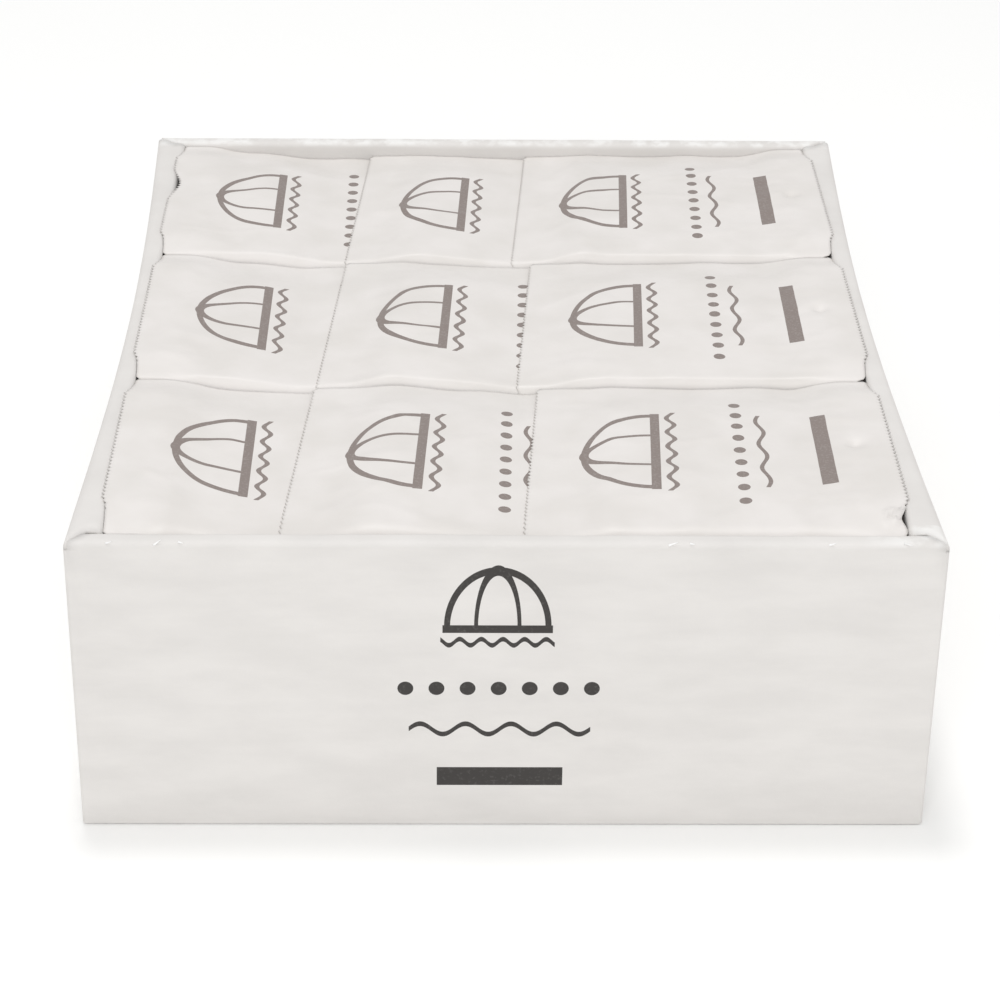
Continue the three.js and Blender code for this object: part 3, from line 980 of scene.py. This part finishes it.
    def fin(self, bm: Shape) -> None:
        """Adds the fin seal, folded flat against the underside.

        Args:
            bm: The shape.
        """
        form = self.form
        inset = form.crimp + form.shoulder
        lower, upper = self.films(bm, form.fin_cells)
        for vertex in upper | lower:
            x = inset + (vertex.co.x + 0.5) * (form.length - 2 * inset)
            y = vertex.co.y * form.fin_width
            z = self.bed(x, y) + (form.fin + form.fin_sunk if vertex in upper else 0.0)
            vertex.co = (self.left + x, self.middle + y, self.base + z)


@dataclass
class FoldedCap:
    """A cap folded to and fro inside its sachet: the film of the bonnet and the elastic of its hem."""

    sachet: Sachet
    half_length: float = 36.5
    layers: int = 3
    pitch: float = 0.7
    lowest: float = 0.24  # share of the sachet's thickness below the lowest layer
    highest: float = 0.66  # share below the highest layer
    front: float = -34.0
    hem: float = 2.5
    rear: float = 34.0
    film: float = 0.12
    film_cuts: int = 40
    band: float = 0.4
    band_cuts: int = 3
    gather: float = 4.0  # from one gather to the next
    gather_height: float = 0.14
    gather_stray: float = 2.0
    gather_size: Pair = (20.0, 15.0)  # over which the gathers stray
    steps: int = 36
    turn_steps: int = 6

    def strip(self, front: float, rear: float, cuts: int, thick: float) -> Shape:
        """Folds a flat strip to and fro.

        Args:
            front: Y of its front edge.
            rear: Y of its rear edge.
            cuts: Number of cuts across it.
            thick: Thickness.

        Returns:
            The strip, in evenly spaced layers.
        """
        bm = bmesh.new()
        edge = bm.edges.new([bm.verts.new((-self.half_length, y, 0.0)) for y in (front, rear)])
        bmesh.ops.subdivide_edges(bm, edges=[edge], cuts=cuts)
        edges = list(bm.edges)
        for layer in range(self.layers):
            way = -1 if layer % 2 else 1
            edges = drawn_out(bm, edges, (way * 2 * self.half_length / self.steps, 0, 0), self.steps)
            if layer < self.layers - 1:
                turned = bmesh.ops.spin(
                    bm,
                    geom=edges,
                    cent=(way * self.half_length, 0, (layer + 0.5) * self.pitch),
                    axis=(0, -way, 0),
                    angle=math.pi,
                    steps=self.turn_steps,
                    use_duplicate=False,
                )
                edges = edges_of(turned["geom_last"])
        thickened(bm, thick)
        return bm

    def packed(self, bm: Shape, gathers: float, name: str) -> bpy.types.Object:
        """Packs a folded strip into the sachet.

        Args:
            bm: The strip.
            gathers: Height of its gathers.
            name: Name of the piece.

        Returns:
            The piece, in place.
        """
        sachet = self.sachet
        thickness = (self.layers - 1) * self.pitch
        for vertex in bm.verts:
            x, y, z = vertex.co
            stray = sachet.ripple(x / self.gather_size[0], y / self.gather_size[1], Ripple.BONNET)
            z += gathers * math.sin(2 * math.pi * y / self.gather + self.gather_stray * stray)
            x += sachet.form.length / 2
            low, high = sachet.heights(x, y)
            share = self.lowest + (self.highest - self.lowest) * z / thickness
            vertex.co = (sachet.left + x, sachet.middle + y, sachet.base + low + share * (high - low))
        return piece_from(bm, name)

    def build(self, place: str) -> tuple[bpy.types.Object, bpy.types.Object]:
        """Makes the bonnet and the elastic.

        Args:
            place: Row and column, for the names.

        Returns:
            The bonnet and the elastic.
        """
        hem_end = self.front + self.hem
        band = self.strip(self.front, hem_end, self.band_cuts, self.band)
        elastic = self.packed(band, 0.0, f"hem_elastic_{place}")
        film = self.strip(hem_end + GAP, self.rear, self.film_cuts, self.film)
        return self.packed(film, self.gather_height, f"folded_bonnet_{place}"), elastic


@dataclass
class Fan:
    """Nine sachets on top of the stacks, in three rows that are each fanned from left to right.

    Pairs of a rear fold's values are for the rear row, at the back wall, and for the other rows.
    """

    form: SachetForm
    finish: Material
    cap_finish: Material
    elastic_finish: Material
    base: float = 87.8
    first: float = -113.5
    step: float = 61.0
    shifts: Mapping[Row, float] = field(
        default_factory=lambda: {Row.REAR: 4.0, Row.MIDDLE: -2.0, Row.FRONT: -9.0}
    )
    splay: float = 3.2
    front_row_roll: float = 5.0  # the front row falls off gently behind the front wall
    rear_lifts: Pair = (0.6, 0.9)
    rear_droops: Pair = (0.6, 0.7)
    rear_curls: Pair = (0.8, 0.8 / 3)
    rear_reaches: Pair = (2.17, 0.0)
    front_reach: float = 3.4  # of the front row, which is spread out to the front wall
    crushed: tuple[Row, Column] = (Row.FRONT, Column.RIGHT)
    lip_fade: Pair = (0.3, 0.4)
    crushed_lip_fade: Pair = (0.4, 0.4)
    gapes: Mapping[tuple[Row, Column], tuple[float, float, float]] = field(
        default_factory=lambda: {
            (Row.REAR, Column.LEFT): (9.0, 30.0, 3.1),
            (Row.FRONT, Column.RIGHT): (-40.0, 8.0, 1.4),
        }
    )

    def build(self) -> None:
        """Builds and dresses every sachet with the cap inside it."""
        for r, row in enumerate(Row):
            lefts = [self.first, self.first + self.step + self.shifts[row], self.first + 2 * self.step]
            form = replace(self.form, front_roll=self.front_row_roll) if row is Row.FRONT else self.form
            undersides = form.drape(lefts)
            inner = int(row is not Row.REAR)
            for c, column in enumerate(Column):
                crushed = (row, column) == self.crushed
                sachet = Sachet(
                    form=form,
                    left=lefts[c],
                    middle=REAR_ROW - r * ROW_PITCH,
                    base=self.base,
                    underside=undersides[c],
                    bare=lefts[c + 1] - lefts[c] if c < 2 else 2 * form.length,
                    seed=3 * r + c + 1,
                    splay=self.splay if c else 0.0,
                    walled=c - 1,
                    lip_fade=self.crushed_lip_fade if crushed else self.lip_fade,
                    gape=self.gapes.get((row, column)),
                    rear_droop=self.rear_droops[inner],
                    rear_curl=self.rear_curls[inner],
                    rear_lift=self.rear_lifts[inner],
                    rear_reach=self.rear_reaches[inner],
                    front_reach=self.front_reach if row is Row.FRONT else 0.0,
                    crumpled=crushed,
                )
                self.dress(sachet, f"{row.value}_{column.value}")

    def dress(self, sachet: Sachet, place: str) -> None:
        """Makes one sachet and its cap, and puts them on their body.

        Args:
            sachet: The sachet.
            place: Row and column.
        """
        bm = bmesh.new()
        sachet.shape(bm)
        sachet.fin(bm)
        wrap = piece_from(bm, f"sachet_wrap_{place}")
        cap = FoldedCap(sachet)
        bonnet, elastic = cap.build(place)
        made = (
            (wrap, self.finish, "wrap", f"wrap_{place}"),
            (bonnet, self.cap_finish, "cap_film", f"bonnet_{place}"),
            (elastic, self.elastic_finish, "elastic", f"elastic_{place}"),
        )
        for obj, finish, slot, node in made:
            dress(obj, f"sachet_{place}", slot, finish)
            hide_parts(node)


@dataclass
class Stacks:
    """Six flat stacks of sachets that fill the carton below the fan."""

    form: SachetForm
    finish: Material
    floor: float = 3.8
    count: int = 24
    step: float = 3.5
    from_middle: float = 61.0
    stray: float = 0.5  # how far the sachets of a stack lie out of line
    stray_step: float = 1.7  # of the noise, from one layer to the next
    wrinkled: float = 0.6
    top_cells: tuple[int, int] = (52, 50)
    hidden_cells: tuple[int, int] = (18, 12)
    first_seed: float = 40.0
    seed_steps: Pair = (7.0, 11.0)  # divide the place of a stack

    def build(self) -> None:
        """Builds and dresses every stack: plain layers, and a fully formed sachet on top."""
        for r, row in enumerate(Row):
            for side, way in (("left", -1), ("right", 1)):
                bm = bmesh.new()
                for layer in range(self.count):
                    self.layer(bm, layer, way * self.from_middle, REAR_ROW - r * ROW_PITCH)
                stack = piece_from(bm, f"stacked_sachets_{row.value}_{side}")
                dress(stack, "carton", "wrap", self.finish)
                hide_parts(f"sachet_stack_{row.value}_{side}")

    def layer(self, bm: Shape, layer: int, x: float, y: float) -> None:
        """Adds one sachet of a stack.

        Args:
            bm: The shape of the stack.
            layer: Its place, from 0 at the bottom.
            x: Middle of the stack.
            y: Middle of the stack.
        """
        top = layer == self.count - 1
        stray = self.stray * noise.noise(Vector((layer * self.stray_step, x, y)))
        Sachet(
            form=self.form,
            left=x - self.form.length / 2 + stray,
            middle=y,
            base=self.floor + layer * self.step,
            underside=lambda _: 0.0,
            bare=0.0,
            seed=self.first_seed + layer + x / self.seed_steps[0] + y / self.seed_steps[1],
            crown=0.0,
            wrinkled=self.wrinkled,
            pinked=top,
            cells=self.top_cells if top else self.hidden_cells,
        ).shape(bm)


# Carton


@dataclass(frozen=True)
class PaperFleck:
    """A torn sliver of the board's face paper that curls up from the front rim."""

    x: float
    length: float
    turn: float  # angle to the rim
    breadth: float = 0.7
    taper: float = 0.8
    lift: float = 0.1
    curl: float = 0.5
    thickness: float = 0.1
    tilt: float = 0.7
    cells: int = 4
    finish_number: int = 1

    def shape(self, bm: Shape, rim: Sequence[float]) -> None:
        """Adds the sliver to a shape.

        Args:
            bm: The shape.
            rim: Y and Z of the rim's front edge.
        """
        strip = bmesh.ops.create_grid(bm, x_segments=self.cells, y_segments=1, size=0.5)["verts"]
        faces = list(faces_at(strip))
        for vertex in strip:
            t = vertex.co.x + 0.5
            broad = self.breadth * (1 - self.taper * t)
            vertex.co = (vertex.co.x * self.length, vertex.co.y * broad, self.lift + self.curl * t * t)
        solid = bmesh.ops.solidify(bm, geom=faces, thickness=self.thickness)["geom"]
        verts = list(set(strip) | set(verts_of(solid)))
        for face in faces_at(verts):
            face.material_index = self.finish_number
        for angle, axis in ((self.turn, "Z"), (self.tilt, "X")):
            bmesh.ops.rotate(bm, cent=(0, 0, 0), matrix=Matrix.Rotation(angle, 3, axis), verts=verts)
        bmesh.ops.translate(bm, vec=(self.x, *rim), verts=verts)


@dataclass
class Carton:
    """An open carton of one folded sheet: walls, and mitred top flaps that are folded down inside."""

    finish: Material
    plain_finish: Material
    torn_finish: Material
    width: float = 250.0
    depth: float = 300.0
    height: float = 97.0
    board: float = 1.6
    rim: float = 6.0
    top_flap: float = 45.0
    mitre_gap: float = 0.5
    bow: float = 4.5
    corner: float = 1.2
    corner_segments: int = 5
    foot: float = 0.5
    foot_segments: int = 3
    cuts: int = 63
    wall_steps: int = 6
    fold_steps: int = 14
    crispness: float = 3.6  # 2 gives a round fold, more a flat one with tighter edges
    flap_steps: int = 4
    uneven_depth: float = 9.0  # how far below the rim the folded board is uneven
    swell: Pair = (34.0, 0.2)  # size and height
    dent: Pair = (9.0, 0.12)
    noise_layers: Pair = (3.1, 8.4)  # of the swell and the dents
    sag: float = 0.1
    fleck_inset: float = 0.08  # share of the rim's width
    flecks: tuple[PaperFleck, ...] = (
        PaperFleck(-112.0, 1.8, 0.2),
        PaperFleck(-98.4, 2.6, 0.6),
        PaperFleck(-91.8, 1.6, -0.4),
        PaperFleck(46.6, 2.8, 0.3),
        PaperFleck(52.0, 1.4, -0.3),
        PaperFleck(91.5, 1.9, 0.2),
        PaperFleck(113.0, 2.4, -0.4),
    )

    def sleeve(self, bm: Shape) -> list[Edge]:
        """Raises the four walls from a rectangle with rounded corners and a rounded foot.

        Args:
            bm: The empty shape.

        Returns:
            The top edges of the walls.
        """
        bmesh.ops.create_grid(bm, x_segments=1, y_segments=1, size=0.5)
        bmesh.ops.scale(bm, vec=(self.width, self.depth, 1), verts=bm.verts)
        rounding = {"offset_type": "OFFSET", "profile": 0.5, "material": -1}
        segments = self.corner_segments
        bmesh.ops.bevel(
            bm, geom=bm.verts[:], offset=self.corner, affect="VERTICES", segments=segments, **rounding
        )
        long_edges = [e for e in bm.edges if e.calc_length() > self.width / 2]
        bmesh.ops.subdivide_edges(bm, edges=long_edges, cuts=self.cuts)
        foot = list(bm.edges)
        step = (0, 0, (self.height - self.rim / 2) / self.wall_steps)
        tops = {v for e in drawn_out(bm, foot, step, self.wall_steps) for v in e.verts}
        segments = self.foot_segments
        bmesh.ops.bevel(bm, geom=foot, offset=self.foot, affect="EDGES", segments=segments, **rounding)
        base = [max(bm.faces, key=lambda face: len(face.verts))]
        bmesh.ops.inset_region(bm, faces=base, thickness=self.board - self.foot)
        bmesh.ops.delete(bm, geom=base, context="FACES")
        return [e for e in bm.edges if e.verts[0] in tops and e.verts[1] in tops]

    def drawn_in(self, along: float, z: float) -> float:
        """How far a side wall is drawn in, at a distance along it from its middle and at a height."""
        return self.bow * math.sin(math.pi * (along / self.depth + 0.5)) * z / self.height

    def fold(self, bm: Shape, tops: Sequence[Edge], wall: Wall) -> None:
        """Folds the top flap of one wall over the rim and down inside, and cuts its ends to a mitre.

        The fold follows a wall that is drawn in, and the flap below it hangs straight beside the sachets.

        Args:
            bm: The shape.
            tops: Top edges of the walls.
            wall: Which wall.
        """
        way = Vector((*wall.value, 0))
        along = Vector((way.y, way.x, 0))
        half, length = (self.width, self.depth) if way.x else (self.depth, self.width)
        half, length = half / 2, length / 2
        before = set(bm.verts)
        fold = self.rim / 2
        turned = bmesh.ops.spin(
            bm,
            geom=[e for e in tops if all(abs(v.co.dot(way) - half) < 10 * MERGED for v in e.verts)],
            cent=way * (half - fold) + Vector((0, 0, self.height - fold)),
            axis=(way.y, -way.x, 0),
            angle=math.pi,
            steps=self.fold_steps,
            use_duplicate=False,
        )
        step = (0, 0, -(self.top_flap - fold) / self.flap_steps)
        drawn_out(bm, edges_of(turned["geom_last"]), step, self.flap_steps)
        for vertex in (v for v in bm.verts if v not in before):
            place = vertex.co.dot(along)
            inwards = half - vertex.co.dot(way)
            out, up = inwards / fold - 1, max(0.0, (vertex.co.z - self.height) / fold + 1)
            crisp = (abs(out) ** self.crispness + up**self.crispness) ** (-1 / self.crispness)
            inwards = fold * (1 + out * crisp)
            vertex.co.z += fold * up * (crisp - 1)
            if way.x:
                turn = min(1.0, inwards / (self.rim - self.board))
                drawn = self.drawn_in(place, vertex.co.z)
                inwards += drawn + (self.bow - drawn) * turn
            mitre = min(inwards, self.rim) + self.mitre_gap
            shorter = max(0.0, mitre - self.corner) / (length - self.corner)
            up = Vector((0, 0, vertex.co.z))
            vertex.co = way * (half - inwards) + along * place * (1 - shorter) + up

    def uneven(self, point: Vector) -> Vector:
        """Gives the rim the small unevenness of folded board.

        Args:
            point: A point of the carton.

        Returns:
            Where it lies.
        """
        up = -self.sag
        for (size, height), layer in zip((self.swell, self.dent), self.noise_layers):
            up += height * noise.noise(Vector((point.x / size, point.y / size, layer)))
        return point + Vector((0, 0, up * rise(point.z, self.height - self.uneven_depth, self.height)))

    def build(self) -> None:
        """Builds and dresses the folded sheet and the flaps that only show from below."""
        bm = bmesh.new()
        tops = self.sleeve(bm)
        walls = list(bm.verts)
        for wall in Wall:
            self.fold(bm, tops, wall)
        for vertex in walls:
            vertex.co.x *= 1 - self.drawn_in(vertex.co.y, vertex.co.z) / (self.width / 2)
        for vertex in bm.verts:
            vertex.co = self.uneven(vertex.co)
        thickened(bm, self.board)
        inset = self.fleck_inset * self.rim
        for fleck in self.flecks:
            fleck.shape(bm, (inset - self.depth / 2, self.height - inset))
        sleeve = piece_from(bm, "carton_sleeve")
        dress(sleeve, "carton", "board", self.finish, self.torn_finish)
        names = [wall.name.lower() for wall in Wall]
        for name in names:
            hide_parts(f"{name}_panel", f"top_flap_{name}")
        for node in [f"bottom_flap_{name}" for name in names] + ["glue_flap"]:
            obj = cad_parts[node]
            obj.data.materials.clear()
            obj.data.materials.append(self.plain_finish)
            LOG.info("%s: board", node)


# Studio


@dataclass(frozen=True)
class Softbox:
    """A round area light that looks at the carton, in metres and watts."""

    name: str
    place: tuple[float, float, float]
    size: float
    power: float

    def build(self) -> None:
        """Makes the light."""
        data = bpy.data.lights.new(self.name, "AREA")
        data.shape = "DISK"
        data.size = self.size
        data.energy = self.power
        obj = bpy.data.objects.new(self.name, data)
        place = Vector(self.place)
        turn = (-place).to_track_quat("-Z", "Y").to_matrix()
        obj.matrix_world = Matrix.Translation(place) @ turn.to_4x4()
        bpy.context.scene.collection.objects.link(obj)


@dataclass
class Studio:
    """A pale floor, a wide soft light from all round, softboxes, and the camera of the photo."""

    lens: float = 102.2
    sensor: float = 36.0
    clip: Pair = (0.01, 50.0)
    place: tuple[float, float, float] = (-16.9, -838.9, 499.0)
    pitch: float = 29.39
    yaw: float = -1.21
    roll: float = 0.77
    floor_cells: int = 8
    floor_half: float = 4000.0
    floor_drop: float = 0.2
    sky_colour: str = "#ffffff"
    sky: float = 0.71
    softboxes: tuple[Softbox, ...] = (
        Softbox("overhead_softbox", (-0.1, 0.16, 1.9), 0.35, 8.6),
        Softbox("front_softbox", (-0.1, -1.8, 1.3), 1.3, 12.5),
    )

    def camera(self) -> None:
        """Makes the camera at the photo's viewing angle."""
        pitch, yaw, roll = map(math.radians, (self.pitch, self.yaw, self.roll))
        level = math.cos(pitch)
        ahead = Vector((-math.sin(yaw) * level, math.cos(yaw) * level, -math.sin(pitch)))
        right = Vector((math.cos(yaw), math.sin(yaw), 0))
        up = right.cross(ahead)
        across = math.cos(roll) * right + math.sin(roll) * up
        upright = -math.sin(roll) * right + math.cos(roll) * up
        turn = Matrix((across, upright, -ahead)).transposed()
        data = bpy.data.cameras.new("photo_camera")
        data.lens = self.lens
        data.sensor_width = self.sensor
        data.clip_start, data.clip_end = self.clip
        obj = bpy.data.objects.new("photo_camera", data)
        obj.matrix_world = Matrix.Translation(Vector(self.place) * MM) @ turn.to_4x4()
        bpy.context.scene.collection.objects.link(obj)
        bpy.context.scene.camera = obj

    def floor(self) -> None:
        """Lays a large pale floor under the carton."""
        bm = bmesh.new()
        cells = self.floor_cells
        bmesh.ops.create_grid(bm, x_segments=cells, y_segments=cells, size=self.floor_half)
        bmesh.ops.translate(bm, vec=(0, 0, -self.floor_drop), verts=bm.verts)
        obj = piece_from(bm, "studio_floor")
        obj.data.materials.append(StudioPaper().material())

    def lights(self) -> None:
        """Sets the light from all round, the softboxes and the plain view of colours."""
        scene = bpy.context.scene
        scene.world = bpy.data.worlds.new("studio_surround")
        scene.world.use_nodes = True
        tree = scene.world.node_tree
        tree.nodes.clear()
        surround = add(tree, "Background", {"Color": linear(self.sky_colour), "Strength": self.sky})
        add(tree, "OutputWorld", {"Surface": surround})
        for softbox in self.softboxes:
            softbox.build()
        scene.view_settings.view_transform = "Standard"
        scene.view_settings.look = "None"

    def build(self) -> None:
        """Sets up the whole studio."""
        self.camera()
        self.floor()
        self.lights()


SACHET_PRINT = Emblem(
    ink="#857a75",
    picture=(46.5, -30.0),
    picture_size=(46.0, 28.0),
    stroke=1.9,
    dots=(46.5, -61.8, 65.0),
    dot_pitch=7.5,
    dot_size=3.6,
    water=(46.5, -68.6, 45.0),
    water_height=1.0,
    water_pitch=15.0,
    water_stroke=1.3,
    bar=(46.5, -86.5, 42.0, 4.6),
)

WALL_PRINT = Emblem(
    ink="#353230",
    picture=(-2.5, 75.0),
    picture_size=(31.0, 26.0),
    stroke=2.0,
    dots=(-2.0, 48.3, 60.0),
    dot_pitch=9.0,
    dot_size=4.6,
    water=(-1.6, 34.2, 53.0),
    water_height=1.8,
    water_pitch=13.25,
    water_stroke=1.7,
    bar=(-1.4, 17.5, 37.0, 6.4),
)

STACKED_REACH = 0.4  # the ends of stacked sachets stay clear of the side flaps


def main() -> None:
    """Builds the studio and every sub-assembly in order."""
    logging.basicConfig(level=logging.INFO, format="%(name)s: %(message)s")
    Studio().build()
    form = SachetForm()
    film = WrapFilm(emblem=SACHET_PRINT).material()
    printed_board = CoatedBoard(name="printed_corrugated_board", emblem=WALL_PRINT).material()
    torn_board = CoatedBoard(name="torn_board_fibres", light="#f8f8f7", dark="#f0efee").material()
    Carton(printed_board, CoatedBoard().material(), torn_board).build()
    Stacks(replace(form, reach=STACKED_REACH), film).build()
    Fan(form, film, CapFilm().material(), KnittedElastic().material()).build()


if __name__ == "__main__":
    main()
